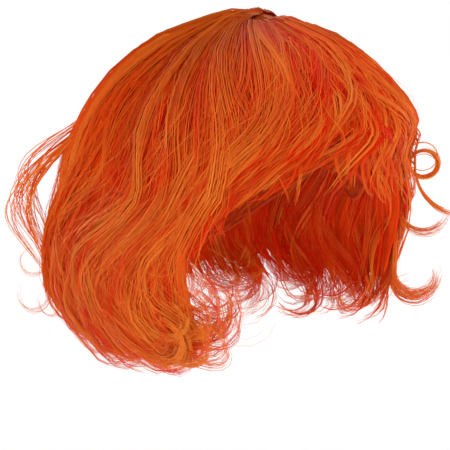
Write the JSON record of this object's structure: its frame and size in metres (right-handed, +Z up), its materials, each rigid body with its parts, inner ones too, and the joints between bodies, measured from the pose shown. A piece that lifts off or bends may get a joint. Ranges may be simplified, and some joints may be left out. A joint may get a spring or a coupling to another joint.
{
  "type": "wavy bob wig",
  "caption": "Chin-length wavy wig with a full fringe: loose locks fall from a whorl over a thin stretch cap that is open below for a head.",
  "frame": {"origin": "the seat inside the cap's crown, where the top of the head bears", "axes": "+Z up, the face opening looks along -Y, and the wearer's left is +X"},
  "size_m": [0.2728, 0.269, 0.2495],
  "materials": {
    "cap": "matt rust-orange stretch net",
    "hair": "soft sheen orange synthetic fibre"
  },
  "bodies": {
    "root": {"cap": "cap", "fringe": "hair", "right_side_hair": "hair", "left_side_hair": "hair", "back_hair": "hair"}
  },
  "joints": []
}
